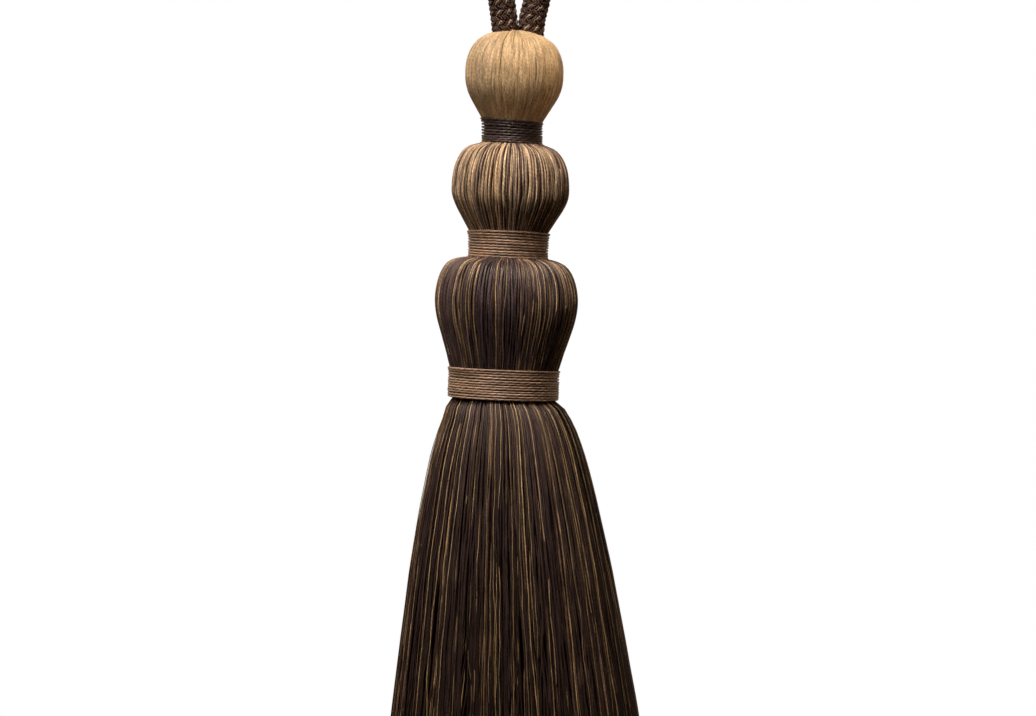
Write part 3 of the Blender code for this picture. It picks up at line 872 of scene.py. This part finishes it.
def skirt_yarns(name, count, shares, rings, sides, gold_share, draw, half=SKIRT_YARN_HALF):
    """Yarns from the binding down to the hem, in the part of the bundle's cross-section between shares."""
    places = np.linspace(0.0, 1.0, rings)
    share = shares[0] + (shares[1] - shares[0]) * draw.permutation(count) / count
    length = SKIRT_FLARE[-1, 0] * draw.uniform(SHORTEST_YARN, 1.0, (count, 1)) + SKIRT_ROOT_UP
    down = places[None, :] ** RING_CROWDING * length - SKIRT_ROOT_UP
    below = np.clip(down, 0.0, SKIRT_FLARE[-1, 0])
    reach = np.interp(below, SKIRT_FLARE[:, 0], SKIRT_FLARE[:, 1]) - half
    drift = np.interp(below, SKIRT_FLARE[:, 0], SKIRT_FLARE[:, 2])
    reach = np.where(down < 0.0, LOWER_BINDING_RADIUS - ROOT_INSIDE_BINDING, reach)
    spread = below / SKIRT_FLARE[-1, 0]
    root_ring = np.sqrt(share)[:, None]
    hem_ring = np.minimum(1.0, np.sqrt(share / HEM_PACKING))[:, None]
    ring = root_ring + (hem_ring - root_ring) * np.sqrt(spread)
    angle = (np.arange(count) * GOLDEN_ANGLE)[:, None] + np.zeros_like(down)
    wander = soft_waves(draw, count, places, SKIRT_WANDER_WAVES) * SKIRT_WANDER
    wander = wander + draw.normal(0.0, HEM_SCATTER, (count, 1)) * spread
    ripple_length = draw.uniform(*RIPPLE_LENGTHS, (count, 1))
    ripple = np.sin(math.tau * down / ripple_length + draw.uniform(0, math.tau, (count, 1)))
    wander = wander + ripple * draw.uniform(*RIPPLE_DEPTHS, (count, 1))
    angle = angle + wander * np.sqrt(spread) / reach
    coarse = COARSE_LOCK_PULL * np.sin(angle * COARSE_LOCKS + COARSE_LOCK_START) * spread ** 0.5
    fine = FINE_LOCK_PULL * np.sin(angle * FINE_LOCKS + FINE_LOCK_START) * spread
    angle = angle + coarse + fine
    turning = angle * BROAD_FOLDS + BROAD_FOLD_START + BROAD_FOLD_TURN * spread
    broad = BROAD_FOLD_DEPTH * np.sin(turning) * spread
    narrow = NARROW_FOLD_DEPTH * np.sin(angle * NARROW_FOLDS) * spread ** 0.5
    fold = broad + narrow
    order = np.argsort(np.argsort(angle[:, -1] % math.tau))
    gold, dye = mixed_dyes(
        draw, order, gold_share, SKIRT_BROWN_SHARE, BRIGHT_GOLD, DARK_YARN, SKIRT_DYE_SPREAD
    )
    half_width = np.where(gold, half * THIN_GOLD, half)[:, None] * draw.uniform(*SKIRT_YARN_RANGE, (count, 1))
    depth = (0.5 + 0.5 * soft_waves(draw, count, places, SKIRT_LIE_WAVES)) * LIE_DEPTH * np.sqrt(spread)
    # A thin yarn lies as far out as the thick ones beside it.
    radius = ring * reach - depth + fold * ring + half - half_width
    ray = np.stack([np.cos(angle), np.sin(angle), np.zeros_like(angle)], axis=-1)
    lines = ray * radius[..., None]
    lines[..., 0] += drift
    lines[..., 2] = -down
    # At the binding the yarns stand as the leaning head holds them.
    leaning = lines @ head_turn.T
    lines = leaning + (lines - leaning) * np.clip(below / LEAN_ENDS_AT, 0.0, 1.0)[..., None] + skirt_root
    return lay_yarns(name, lines, ray, half_width, half_width, dye, sides=sides, seed=chance_seed(draw))


skirt_draw = np.random.default_rng(71)
face_yarns = skirt_yarns(
    "skirt_face", count=560, shares=(0.78, 1.0), rings=30, sides=5, gold_share=0.28, draw=skirt_draw
)
finish_piece("skirt_face_yarns", [face_yarns], dark_rayon, "root", ["skirt"])
second_yarns = skirt_yarns(
    "skirt_second", count=520, shares=(0.55, 0.80), rings=20, sides=5, gold_share=0.18, draw=skirt_draw
)
finish_piece("skirt_second_yarns", [second_yarns], dark_rayon, "root", ["skirt"])
core_yarns = skirt_yarns(
    "skirt_core", count=620, shares=(0.0, 0.55), rings=12, sides=4, gold_share=0.10, draw=skirt_draw,
    half=CORE_YARN_HALF,
)
finish_piece("skirt_core_yarns", [core_yarns], dark_rayon, "root", ["skirt"])
